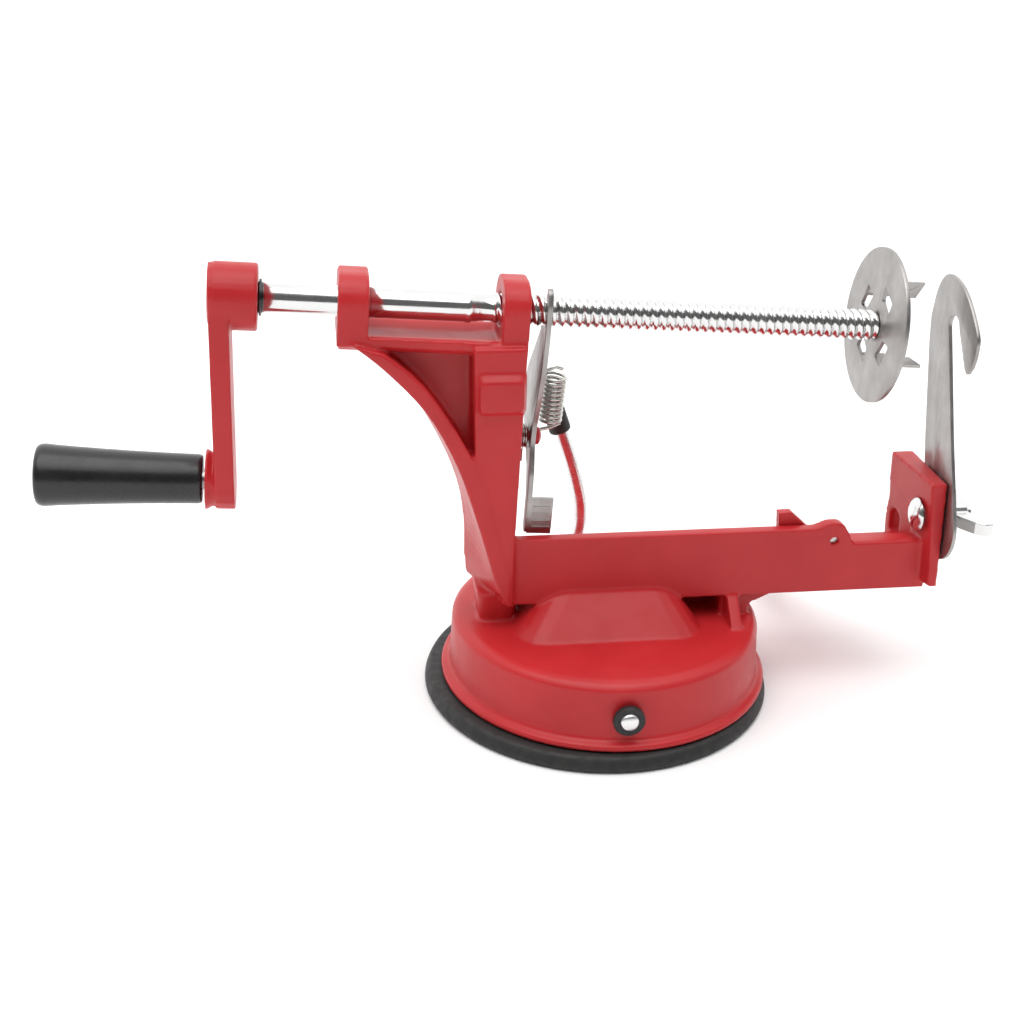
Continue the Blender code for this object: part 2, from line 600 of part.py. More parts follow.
def peeler_arm():
    """The cast arm with its hub between the two ears, lying down behind the beam."""
    y, z = PEELER_AXIS
    low, high = PEELER_SPAN
    arm = disc("peeler_arm", 4.6, low, high, RED, beside(y, z), 24)
    reach = Vector((math.cos(PEELER_REST), math.sin(PEELER_REST)))
    up = Vector((-reach.y, reach.x))
    flat = lambda a, b: (y + reach.x * a + up.x * b, z + reach.y * a + up.y * b)
    rings = []
    for distance, half, width in ((0, 3.0, 3.4), (14, 2.4, 4.6), (PEELER_LENGTH - 4, 2.0, 4.6), (PEELER_LENGTH, 1.6, 4.0)):
        middle = 75.5
        corners = [(middle - width, half), (middle + width, half), (middle + width, -half), (middle - width, -half)]
        rings.append([(x, *flat(distance, b)) for x, b in corners])
    merge(arm, loft("arm_bar", rings, None))
    cut(arm, disc("arm_bore", 2.06 / math.cos(math.pi / 16), low - 3, high + 3, None, beside(y, z), 16))
    place = along(WORLD, (75.5, *flat(PEELER_LENGTH - 6, 0)), (0, up.x, up.y), (1, 0, 0))
    cut(arm, disc("arm_screw_hole", 1.3, -6, 6, None, place, 16))
    blade = slab("peeler_blade", [(-6, -4.5), (6, -4.5), (7.5, 4), (7.5, 9), (-7.5, 9), (-7.5, 4)], 2.35, 3.15, "Z", STEEL,
                 along(WORLD, (75.5, *flat(PEELER_LENGTH - 6, 0)), (0, up.x, up.y), (-1, 0, 0)))
    return arm, blade, place


def peeler():
    y, z = PEELER_AXIS
    arm, blade, place = peeler_arm()
    cut(blade, disc("blade_screw_hole", 1.5, -6, 6, None, place, 16))
    screw = lathe("peeler_blade_screw", [(0, -1.2), (1.1, -1.2), (1.1, 3.45), (2.6, 3.45), (2.4, 4.4), (1.4, 4.8), (0, 4.8)],
                  STEEL, place, 16)
    pin = lathe("peeler_pin", [(0, 60.6), (3.0, 60.6), (3.2, 61.0), (3.2, 62.4), (2.0, 62.4), (2.0, 87.6), (0, 87.6)], STEEL,
                beside(y, z), 24)
    turns = [(x, y + a, z + b) for a, b, x in coil(5.7, 67.2, 70.7, 3.5, 12, math.radians(70))]
    spring = wire("peeler_spring", turns, 0.4, STEEL, WORLD, 6)
    return arm, blade, screw, pin, spring


def latch():
    """The small catch on the beam's ear, its hook standing above the beam."""
    x, z = EAR
    outline = [(x + 3.3, z + 1.0), (x + 3.4, z - 2), (x + 3.8, z - 7.5), (x - 0.5, z - 8), (x - 2.6, z - 2.6), (x - 9.5, z - 0.2),
               (x - 16.6, z + 0.4), (x - 17.2, 59.0), (x - 13.2, 59.2), (x - 6.8, 53.4), (x + 1.5, 53.2)]
    lever = slab("latch", outline, -6.6, -3.4, "Y", RED)
    cut(lever, disc("latch_eye", 1.26 / math.cos(math.pi / 16), -9, 0, None, across(x, z), 16))
    pin = lathe("latch_pin", [(0, -9.6), (1.2, -9.6), (1.2, -0.8), (2.1, -0.8), (2.1, 0.2), (0, 0.2)], STEEL, across(x, z), 16)
    turns = [(x + b, y, z + a) for a, b, y in coil(2.1, -2.85, -1.3, 2, 12)]
    spring = wire("latch_spring", turns, 0.35, STEEL, WORLD, 6)
    return lever, pin, spring


# ---------------------------------------------------------------- slicing blade


def blade_outline():
    """The strip and its hook in the blade's own frame: sideways from the bolt, and up along the strip."""
    foot = arc((-2.2, -3.0), 11.1, 0, -180, 10)
    far_edge = [(8.5, 22), (6.2, 54)]
    knots = [(4.9, 61.5, 0), (-0.5, 70.4, 0), (-8, 73.5, 0), (-18.6, 67.8, 0), (-26.6, 55.6, 0), (-26, 49.4, 0), (-23.4, 45.4, 0)]
    crown = [(point[0], point[1]) for point in smooth(knots, 4)]
    tip = [(-20.4, 43.4), (-18.9, 45)]
    slot = [(-15.1, 56.7)] + arc((-11.4, 57.6), 3.5, 160, 0, 8)
    near_edge = [(-10.4, 23.6), (-13.2, 0)]
    return foot[::-1] + far_edge + crown + tip + slot + near_edge


def slicing_blade():
    place = Matrix.Translation((0, *BOLT)) @ Matrix.Rotation(-BLADE_TILT, 4, "X")
    outline = blade_outline()
    blade = slab("slicing_blade", outline, BLADE_FACE, BLADE_FACE + BLADE_THICKNESS, "X", STEEL, place)
    slot = arc((0, 3.5), 2.75, 0, 180, 8) + arc((0, -0.2), 2.75, 180, 360, 8)
    cut(blade, slab("blade_slot", slot, BLADE_FACE - 3, BLADE_FACE + 4, "X", None, place))
    here = beside(*BOLT)
    face = BLADE_FACE + BLADE_THICKNESS
    profile = [(0, 96.2), (2.6, 96.5), (4.8, 97.7), (5.3, 98.4), (2.45, 98.4), (2.45, 115.2), (1.9, 115.8), (0, 115.8)]
    bolt = lathe("carriage_bolt", profile, CHROME, here, 24)
    ring = washer("blade_washer", 5.6, 2.65, face + 0.3, face + 1.3, STEEL, here, 24)
    nut = washer("wing_nut", 4.6, 2.55, face + 1.6, face + 7.6, CHROME, here, 24)
    for number in range(2):
        wing = [(face + 1.9, 3.2), (face + 7.2, 3.2), (face + 11.4, 8.6), (face + 12.4, 12), (face + 11.6, 13.6),
                (face + 8.8, 13.8), (face + 6.6, 12), (face + 3.6, 7.6)]
        rings = [[(x, side, r if number == 0 else -r) for x, r in wing] for side in (-2, 2)]
        turned = Matrix.Translation((0, *BOLT)) @ Matrix.Rotation(math.radians(WING_TURN), 4, "X")
        merge(nut, loft(f"wing_{number}", rings, None, turned))
    cut(nut, disc("nut_bore", 2.55, face - 4, face + 20, None, here, 24))
    return blade, bolt, ring, nut


def main():
    for leftover in list(bpy.data.objects):
        bpy.data.objects.remove(leftover)
    suction_pad()
    frame_casting()

    crank_axis = axis_empty("crank_axis", on_shaft())
    hub_washer = washer("hub_washer", 5.2, SHAFT_RADIUS + 0.12, HUB[1] + 0.3, HUB[1] + 1.0, BLACK, on_shaft())
    pin = disc("crank_pin", 1.7, 4.6, 9.6, STEEL, along(SHAFT, (-106, 0, 0), (0, 1, 0), (0, 0, 1)), 16)
    hang(crank_axis, crank(), pin, drive_screw(), *fork(), hub_washer)

    grip, bolt = handle()
    handle_axis = axis_empty("handle_axis", on_shaft(0, -CRANK_THROW))
    hang(handle_axis, grip, bolt)
    hang(crank_axis, handle_axis)

    hang(axis_empty("release_axis", on_shaft(*RELEASE_PIVOT)), release_lever())
    release_pivot()
    release_spring()
    return_spring()

    hang(axis_empty("lever_axis", across(LEVER_X, LEVER_Z)), *suction_lever())
    pad_lift()

    arm, blade, screw, peeler_pin, peeler_spring = peeler()
    hang(axis_empty("peeler_axis", beside(*PEELER_AXIS)), arm, blade, screw)
    catch, latch_pin, latch_spring = latch()
    hang(axis_empty("latch_axis", across(*EAR)), catch)

    slicer, bolt, ring, nut = slicing_blade()
    hang(axis_empty("blade_axis", beside(*BOLT)), slicer, ring, nut)


main()
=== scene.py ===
"""Looks of the apple peeler corer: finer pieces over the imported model, procedural materials,
a pale floor, soft studio light and the camera."""

import json
import math

import bmesh
import bpy
from mathutils import Matrix, Vector


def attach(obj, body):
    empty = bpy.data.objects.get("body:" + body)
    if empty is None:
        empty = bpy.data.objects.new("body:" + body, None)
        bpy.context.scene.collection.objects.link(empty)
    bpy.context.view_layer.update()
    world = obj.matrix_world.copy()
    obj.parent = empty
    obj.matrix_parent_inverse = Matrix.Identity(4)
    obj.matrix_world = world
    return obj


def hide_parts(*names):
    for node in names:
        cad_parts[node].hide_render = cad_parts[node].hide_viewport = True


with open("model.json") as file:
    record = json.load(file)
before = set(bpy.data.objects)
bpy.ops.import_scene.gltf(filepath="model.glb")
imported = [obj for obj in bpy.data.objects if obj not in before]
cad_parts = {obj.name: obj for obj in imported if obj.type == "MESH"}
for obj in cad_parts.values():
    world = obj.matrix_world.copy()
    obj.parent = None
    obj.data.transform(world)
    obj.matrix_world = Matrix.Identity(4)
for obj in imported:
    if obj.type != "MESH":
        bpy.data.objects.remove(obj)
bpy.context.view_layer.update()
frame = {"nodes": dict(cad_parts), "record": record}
RECORD = frame["record"]

# Lengths are in millimetres until build() turns them into metres.
MM = 0.001
LINE_HEIGHT = 121.9
LINE_DROP = math.radians(3.7)
SHAFT = Matrix.Translation((0, 0, LINE_HEIGHT)) @ Matrix.Rotation(LINE_DROP, 4, "Y")
WORLD = Matrix.Identity(4)

# Where each piece sits, as in the CAD model
DRUM_X = 2.2
DRUM_SEGMENTS = 48
CRANK_THROW = 55.5
GRIP = (-163.0, -116.3)
LEVER_AXIS = (0.3, 15.4)
LEVER_REACH = 60.5
LEVER_RADIUS = 2.75
RELEASE_FACE = -20.2
RELEASE_THICKNESS = 1.4
RELEASE_PIVOT = (6.0, -41.0)
PEELER_AXIS = (17.5, 38.0)
EAR = (71.4, 50.8)
FORK_FACE = 79.6
FORK_RADIUS = 23.0
FORK_THICKNESS = 1.2
PRONG_RADIUS = 14.8
PRONG_TWIST = math.radians(-18)
BOLT = (-7.5, 57.5)
BLADE_TILT = math.radians(18)
BLADE_FACE = 104.4
BLADE_THICKNESS = 1.2

# Camera
CAMERA_PLACE = (-84.2, -392.8, 241.9)
CAMERA_AZIMUTH = math.radians(8.13)
CAMERA_ELEVATION = math.radians(24.66)
CAMERA_ROLL = math.radians(1.34)
CAMERA_LENS = 50.36


# ---------------------------------------------------------------- materials


def shader(name, colour, roughness, metallic):
    """A Principled material with its constants on its own sockets."""
    made = bpy.data.materials.new(name)
    made.use_nodes = True
    principled = made.node_tree.nodes["Principled BSDF"]
    principled.inputs["Base Color"].default_value = (*colour, 1)
    principled.inputs["Roughness"].default_value = roughness
    principled.inputs["Metallic"].default_value = metallic
    return made, made.node_tree.nodes, made.node_tree.links, principled


def noise(made, scale, detail=3.0, stretch=(1, 1, 1)):
    """A noise over the piece's own coordinates; scale counts features per metre."""
    nodes, links = made.node_tree.nodes, made.node_tree.links
    place = nodes.new("ShaderNodeTexCoord")
    mapping = nodes.new("ShaderNodeMapping")
    mapping.inputs["Scale"].default_value = stretch
    texture = nodes.new("ShaderNodeTexNoise")
    texture.inputs["Scale"].default_value = scale
    texture.inputs["Detail"].default_value = detail
    links.new(place.outputs["Object"], mapping.inputs["Vector"])
    links.new(mapping.outputs["Vector"], texture.inputs["Vector"])
    return texture.outputs["Fac"]


def ramp(made, source, stops):
    """A colour ramp through (position, colour) stops."""
    node = made.node_tree.nodes.new("ShaderNodeValToRGB")
    elements = node.color_ramp.elements
    while len(elements) < len(stops):
        elements.new(0.5)
    for element, (position, colour) in zip(elements, stops):
        element.position = position
        element.color = (*colour, 1)
    made.node_tree.links.new(source, node.inputs["Fac"])
    return node.outputs["Color"]


def spread(made, source, low, high):
    """source from 0.3..0.7 mapped to low..high."""
    node = made.node_tree.nodes.new("ShaderNodeMapRange")
    node.inputs["From Min"].default_value = 0.3
    node.inputs["From Max"].default_value = 0.7
    node.inputs["To Min"].default_value = low
    node.inputs["To Max"].default_value = high
    made.node_tree.links.new(source, node.inputs["Value"])
    return node.outputs["Result"]


def bump(made, source, distance, strength=1.0, below=None):
    node = made.node_tree.nodes.new("ShaderNodeBump")
    node.inputs["Distance"].default_value = distance
    node.inputs["Strength"].default_value = strength
    made.node_tree.links.new(source, node.inputs["Height"])
    if below:
        made.node_tree.links.new(below, node.inputs["Normal"])
    return node.outputs["Normal"]


def red_plastic():
    made, _, links, out = shader("red_plastic", (0.50, 0.020, 0.024), 0.38, 0.0)
    out.inputs["Specular IOR Level"].default_value = 0.36
    tone = ramp(made, noise(made, 45), [(0.3, (0.47, 0.017, 0.021)), (0.7, (0.53, 0.023, 0.027))])
    links.new(tone, out.inputs["Base Color"])
    links.new(spread(made, noise(made, 160), 0.33, 0.43), out.inputs["Roughness"])
    waves = bump(made, noise(made, 130, 2), 0.00012, 0.5)
    links.new(bump(made, noise(made, 2600, 2), 0.00003, 0.5, waves), out.inputs["Normal"])
    return made


def chrome(name, colour, roughness):
    made, _, links, out = shader(name, colour, roughness, 1.0)
    links.new(spread(made, noise(made, 220, 4), roughness * 0.7, roughness * 1.5), out.inputs["Roughness"])
    tone = ramp(made, noise(made, 90), [(0.3, tuple(0.93 * c for c in colour)), (0.7, colour)])
    links.new(tone, out.inputs["Base Color"])
    links.new(bump(made, noise(made, 700, 3), 0.00001, 0.6), out.inputs["Normal"])
    return made


def sheet_steel():
    """Stamped stainless sheet: fine grain along the strip, and a soft waviness from rolling."""
    made, _, links, out = shader("sheet_steel", (0.38, 0.365, 0.355), 0.40, 1.0)
    grain = noise(made, 900, 3, (1, 1, 0.06))
    tone = ramp(made, noise(made, 130, 4), [(0.3, (0.32, 0.305, 0.295)), (0.7, (0.42, 0.405, 0.395))])
    links.new(tone, out.inputs["Base Color"])
    links.new(spread(made, grain, 0.34, 0.46), out.inputs["Roughness"])
    waves = bump(made, noise(made, 90, 2), 0.00025, 0.5)
    links.new(bump(made, grain, 0.00001, 0.7, waves), out.inputs["Normal"])
    return made


def black_rubber():
    made, _, links, out = shader("black_rubber", (0.016, 0.016, 0.016), 0.62, 0.0)
    tone = ramp(made, noise(made, 300, 4), [(0.35, (0.012, 0.012, 0.012)), (0.75, (0.022, 0.022, 0.021))])
    links.new(tone, out.inputs["Base Color"])
    links.new(spread(made, noise(made, 500), 0.5, 0.7), out.inputs["Roughness"])
    links.new(bump(made, noise(made, 2200, 3), 0.00004, 0.6), out.inputs["Normal"])
    return made


def black_plastic():
    made, _, links, out = shader("black_plastic", (0.011, 0.011, 0.012), 0.27, 0.0)
    tone = ramp(made, noise(made, 80), [(0.3, (0.009, 0.009, 0.010)), (0.7, (0.014, 0.014, 0.015))])
    links.new(tone, out.inputs["Base Color"])
    links.new(spread(made, noise(made, 260), 0.23, 0.33), out.inputs["Roughness"])
    links.new(bump(made, noise(made, 900, 2), 0.00002, 0.6), out.inputs["Normal"])
    return made


LOOKS = {
    "red_body": red_plastic(),
    "black_plastic": black_plastic(),
    "rubber": black_rubber(),
    "plated_screw": chrome("bright_plating", (0.74, 0.74, 0.735), 0.13),
    "chrome_rod": chrome("rod_chrome", (0.82, 0.82, 0.82), 0.24),
    "blade_steel": sheet_steel(),
    "steel": chrome("zinc_steel", (0.60, 0.59, 0.57), 0.26),
    "spring_wire": chrome("spring_steel", (0.58, 0.57, 0.54), 0.2),
}
SLOT_OF = {part["node"]: part["material_slot"] for part in RECORD["subparts"]}
BODY_OF = {node: body for body, nodes in RECORD["behaviour"]["bodies"].items() for node in nodes}


# ---------------------------------------------------------------- mesh helpers


def settle(made, node, smooth_angle):
    """Gives a finished piece its shading, material and CAD body, and lets it stand for its node."""
    made.data.shade_smooth()
    if smooth_angle:
        made.data.set_sharp_from_angle(angle=math.radians(smooth_angle))
    made.data.materials.clear()
    made.data.materials.append(LOOKS[SLOT_OF[node]])
    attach(made, BODY_OF[node])
    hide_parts(node)
    return made


def build(name, points, faces, place=WORLD):
    """An object from points in millimetres, placed by a frame in millimetres."""
    mesh = bpy.data.meshes.new(name)
    mesh.from_pydata([(place @ Vector(point)) * MM for point in points], [], faces)
    work = bmesh.new()
    work.from_mesh(mesh)
    bmesh.ops.recalc_face_normals(work, faces=work.faces)
    if work.calc_volume(signed=True) < 0:
        bmesh.ops.reverse_faces(work, faces=work.faces)
    work.to_mesh(mesh)
    work.free()
    made = bpy.data.objects.new(name, mesh)
    bpy.context.scene.collection.objects.link(made)
    return made


def loft(name, rings, place=WORLD):
    size = len(rings[0])
    points = [point for ring in rings for point in ring]
    faces = [list(range(size)), list(range((len(rings) - 1) * size, len(rings) * size))]
    for k in range(len(rings) - 1):
        for i in range(size):
            j = (i + 1) % size
            faces.append([k * size + i, k * size + j, (k + 1) * size + j, (k + 1) * size + i])
    return build(name, points, faces, place)


def slab(name, outline, low, high, place=WORLD):
    """An outline of (second, third) coordinates pushed along the frame's first one."""
    return loft(name, [[(x, a, b) for a, b in outline] for x in (low, high)], place)


def lathe(name, profile, place, segments, closed=False):
    """A turned solid: profile holds (radius, height) along the frame's +Z."""
    turns = [2 * math.pi * i / segments for i in range(segments)]
    points, rings, faces = [], [], []
    for radius, height in profile:
        if radius == 0:
            rings.append([len(points)] * segments)
            points.append((0, 0, height))
        else:
            rings.append(list(range(len(points), len(points) + segments)))
            points += [(radius * math.cos(a), radius * math.sin(a), height) for a in turns]
    pairs = list(zip(rings, rings[1:])) + ([(rings[-1], rings[0])] if closed else [])
    for low, high in pairs:
        for i in range(segments):
            j = (i + 1) % segments
            face = list(dict.fromkeys([low[i], low[j], high[j], high[i]]))
            if len(face) > 2:
                faces.append(face)
    return build(name, points, faces, place)


def arc(centre, radius, start, end, steps):
    """Points on a circle from start to end, in degrees."""
    turns = [math.radians(start + (end - start) * i / steps) for i in range(steps + 1)]
    return [(centre[0] + radius * math.cos(a), centre[1] + radius * math.sin(a)) for a in turns]


def smooth(route, per_span=8):
    """Points of a Catmull-Rom curve through the route's own points."""
    knots = [Vector(point) for point in route]
    made = []
    for i in range(len(knots) - 1):
        a, b, c, d = (knots[min(max(i + k, 0), len(knots) - 1)] for k in (-1, 0, 1, 2))
        for step in range(per_span):
            t = step / per_span
            bend = (2 * a - 5 * b + 4 * c - d) * t**2 + (3 * b - a - 3 * c + d) * t**3
            made.append(0.5 * (2 * b + (c - a) * t + bend))
    return made + [knots[-1]]


def tube(name, route, radius, place, sides, end_round=0.25):
    """A round wire or rod along a route, its two ends a little rounded."""
    route = [Vector(point) for point in route]
    count = len(route)
    tangents = [(route[min(i + 1, count - 1)] - route[max(i - 1, 0)]).normalized() for i in range(count)]
    side = tangents[0].orthogonal().normalized()
    rings = []
    for i, (point, tangent) in enumerate(zip(route, tangents)):
        side = (side - tangent * side.dot(tangent)).normalized()
        other = tangent.cross(side)
        turns = [2 * math.pi * k / sides for k in range(sides)]
        circle = [side * math.cos(a) + other * math.sin(a) for a in turns]
        if i == 0:
            rings.append([point + radius * (1 - end_round) * way for way in circle])
            point = point + tangent * radius * end_round
        if i == count - 1:
            rings.append([point - tangent * radius * end_round + radius * way for way in circle])
            rings.append([point + radius * (1 - end_round) * way for way in circle])
        else:
            rings.append([point + radius * way for way in circle])
    return loft(name, rings, place)


def coil(radius, start, end, turns, steps=28, phase=0.0):
    """Points of a helix about +Z."""
    count = round(turns * steps)
    made = []
    for i in range(count + 1):
        angle = phase + 2 * math.pi * turns * i / count
        made.append((radius * math.cos(angle), radius * math.sin(angle), start + (end - start) * i / count))
    return made


def along(place, origin, direction, side=(0, 1, 0)):
    """A frame at origin whose +Z is direction, inside place."""
    z = Vector(direction).normalized()
    x = Vector(side).cross(z).normalized()
    turn = Matrix((x, z.cross(x), z)).transposed().to_4x4()
    return place @ Matrix.Translation(origin) @ turn


def on_shaft(t=0.0, h=0.0):
    """The frame whose +Z runs along the screw line, t beside it and h above it."""
    return along(SHAFT, (0, t, h), (1, 0, 0))


def across(x, z):
    """The frame whose +Z runs along world +Y through (x, z)."""
    return along(WORLD, (x, 0, z), (0, 1, 0), side=(0, 0, 1))


def beside(y, z):
    """The frame whose +Z runs along world +X through (y, z)."""
    return along(WORLD, (0, y, z), (1, 0, 0))


def apply_all(made):
    """Turns the evaluated shape into the piece's own mesh and drops its modifiers."""
    graph = bpy.context.evaluated_depsgraph_get()
    mesh = bpy.data.meshes.new_from_object(made.evaluated_get(graph))
    made.modifiers.clear()
    made.data = mesh
    return made


def boolean(target, other, operation="DIFFERENCE"):
    change = target.modifiers.new(other.name, "BOOLEAN")
    change.operation = operation
    change.object = other
    apply_all(target)
    bpy.data.objects.remove(other)
    return target


def bevelled(made, width):
    """Rounds the sharp edges of a stamped sheet a little."""
    change = made.modifiers.new("edges", "BEVEL")
    change.width = width * MM
    change.segments = 2
    change.limit_method = "ANGLE"
    change.angle_limit = math.radians(40)
    return apply_all(made)


def cast(name, node, voxel, rounds, keep=1.0):
    """A copy of a CAD node with the softened edges of a moulding: remeshed, smoothed and thinned out."""
    made = bpy.data.objects.new(name, frame["nodes"][node].data.copy())
    bpy.context.scene.collection.objects.link(made)
    weld = made.modifiers.new("weld", "WELD")
    weld.merge_threshold = 1e-6
    remesh = made.modifiers.new("remesh", "REMESH")
    remesh.mode = "VOXEL"
    remesh.voxel_size = voxel * MM
    soften = made.modifiers.new("soften", "SMOOTH")
    soften.factor = 0.5
    soften.iterations = rounds
    if keep < 1:
        thin = made.modifiers.new("thin", "DECIMATE")
        thin.ratio = keep
    return apply_all(made)


# ---------------------------------------------------------------- castings


def rounder(made):
    """Swells the flats of the drum's polygon out to its true circle."""
    half = math.pi / DRUM_SEGMENTS
    inside, top = 30 * MM, 26.2 * MM
    for vertex in made.data.vertices:
        x, y, z = vertex.co
        x -= DRUM_X * MM
        if z < top and math.hypot(x, y) > inside:
            off = (math.atan2(y, x) % (2 * half)) - half
            grow = math.cos(off) / math.cos(half)
            vertex.co = (x * grow + DRUM_X * MM, y * grow, z)
    return made


def castings():
    body = cast("body_casting", "frame_casting", 0.55, 5)
    settle(rounder(body), "frame_casting", 0)
    settle(cast("crank_casting", "crank_arm", 0.4, 5, 0.5), "crank_arm", 0)
    settle(cast("peeling_arm_casting", "peeler_arm", 0.4, 4, 0.5), "peeler_arm", 0)
    settle(cast("catch_casting", "latch", 0.25, 4, 0.6), "latch", 0)


# ---------------------------------------------------------------- turned pieces


def screw():
    """The crank rod: smooth shank, stepped collar, waist, and the rolled double-start thread."""
    place = on_shaft()
    root, crest, pitch, starts = 3.8, 4.62, 2.5, 2
    start, end = -35.6, 79.3
    rows_per_pitch, columns = 10, 56
    points, faces = [], []
    rows = math.ceil((end - start) / pitch * rows_per_pitch)
    for row in range(rows + 1):
        x = start + (end - start) * row / rows
        for column in range(columns):
            turn = column / columns
            phase = ((x - start) / pitch - starts * turn) % 1.0
            swell = 0.5 + 0.5 * math.cos(2 * math.pi * (phase - 0.5))
            fade = min(1.0, (x - start) / 1.8)
            radius = root + (crest - root) * swell**0.55 * fade
            angle = 2 * math.pi * turn
            points.append((radius * math.cos(angle), radius * math.sin(angle), x))
    for row in range(rows):
        for column in range(columns):
            after = (column + 1) % columns
            low, high = row * columns, (row + 1) * columns
            faces.append([low + column, low + after, high + after, high + column])
    tip = len(points)
    points.append((0, 0, end))
    faces += [[rows * columns + c, rows * columns + (c + 1) % columns, tip] for c in range(columns)]
    shank = [(0, -112), (4.1, -112), (4.3, -111.8), (4.3, -43.2), (4.6, -42.7), (4.6, -41.7), (4.15, -41.2),
             (4.1, -39.6), (3.85, -39.2), (3.8, -36.6)]
    base = len(points)
    points.append((0, 0, shank[0][1]))
    rings = []
    for radius, height in shank[1:]:
        rings.append(len(points))
        for column in range(columns):
            angle = 2 * math.pi * column / columns
            points.append((radius * math.cos(angle), radius * math.sin(angle), height))
    rings.append(0)
    faces += [[rings[0] + c, rings[0] + (c + 1) % columns, base] for c in range(columns)]
    for low, high in zip(rings, rings[1:]):
        for column in range(columns):
            after = (column + 1) % columns
            faces.append([low + column, low + after, high + after, high + column])
    settle(build("crank_screw", points, faces, place), "drive_screw", 50)


def handle():
    place = on_shaft(0, -CRANK_THROW)
    low, high = GRIP
    lip = [(8.3, low + 0.25), (8.75, low + 0.8), (9.0, low + 1.6), (9.05, low + 2.6)]
    profile = [(5.7, low + 0.6), (6.1, low + 0.1), (7.6, low)] + lip + [
        (8.75, low + 6), (8.4, low + 12), (8.05, low + 19), (7.75, low + 26), (7.55, low + 32),
        (7.4, low + 38), (7.25, high - 1.2), (7.1, high - 0.4), (6.7, high), (3.2, high),
        (3.2, low + 5), (5.7, low + 5),
    ]
    settle(lathe("grip", profile, place, 128, True), "handle_grip", 50)
    bolt = [(0, low + 1.3), (3.2, low + 1.3), (4.6, low + 1.7), (5.0, low + 2.4), (5.0, low + 4.6),
            (3.12, low + 4.6), (3.12, -110), (0, -110)]
    made = lathe("grip_bolt", bolt, place, 64)
    slot_cut = slab("driver_slot", [(-4.2, -0.6), (4.2, -0.6), (4.2, 0.6), (-4.2, 0.6)], low - 1, low + 2.2,
                    SHAFT @ Matrix.Translation((0, 0, -CRANK_THROW)))
    settle(boolean(made, slot_cut), "handle_bolt", 40)


def suction_base():
    underside = [(0, 0), (22, 0), (25, 1.4), (43, 1.4), (46, 0), (53.6, 0)]
    rim = [(54.3, 0.25), (54.7, 0.9), (54.65, 1.8), (54.3, 2.8), (53.8, 3.8), (53.3, 4.4), (52.6, 4.7)]
    profile = underside + rim + [(47, 4.7), (44, 3.3), (0, 3.3)]
    settle(lathe("rubber_pad", profile, WORLD, 192), "suction_pad", 40)


def suction_lever():
    x, z = LEVER_AXIS
    knots = [(x, 50, z), (x, 52, z), (x, 55, z), (x + 0.7, 59.2, z + 1.6)]
    bends = [(3.4, 20.5), (4.9, 26.5), (4.6, 35), (2.8, 43.5), (0.4, 51.5), (-2.6, 60), (-6.6, 72)]
    knots += [(a, LEVER_REACH, b) for a, b in bends]
    rod = tube("lever_rod", [(x, -52.2, z)] + smooth(knots), LEVER_RADIUS, WORLD, 32, 0.2)
    settle(rod, "suction_lever", 50)
    lean = Vector((-4.0, 0, 12))
    profile = [(2.82, 0), (3.4, 0), (3.7, 0.25), (3.8, 0.9), (3.75, 8), (3.7, 14.2), (3.4, 15.6), (2.6, 16.6),
               (1.4, 17.1), (0, 17.2), (0, 14.6), (2.82, 14.6)]
    cap = lathe("rubber_cap", profile, along(WORLD, (-3.3, LEVER_REACH, 62.0), lean), 64, True)
    settle(cap, "lever_cap", 50)
    ring = [(2.8, -51.4), (4.4, -51.4), (4.7, -51.1), (4.7, -49.7), (4.4, -49.3), (2.8, -49.3)]
    settle(lathe("lever_washer", ring, across(x, z), 64, True), "lever_retainer", 40)


def hub_ring():
    ring = [(4.42, -100.8), (5.0, -100.8), (5.2, -100.65), (5.2, -100.25), (5.0, -100.1), (4.42, -100.1)]
    settle(lathe("hub_ring", ring, on_shaft(), 64, True), "hub_washer", 40)


# ---------------------------------------------------------------- sheet metal


def rounded(corners, radius, steps=4):
    """An outline with each corner cut round by about radius."""
    made = []
    count = len(corners)
    for i in range(count):
        before, here, after = (Vector(corners[(i + k) % count]) for k in (-1, 0, 1))
        reach = min(radius, 0.45 * (before - here).length, 0.45 * (after - here).length)
        start = here + (before - here).normalized() * reach
        end = here + (after - here).normalized() * reach
        for step in range(steps + 1):
            t = step / steps
            made.append(tuple((1 - t) ** 2 * start + 2 * t * (1 - t) * here + t**2 * end))
    return made


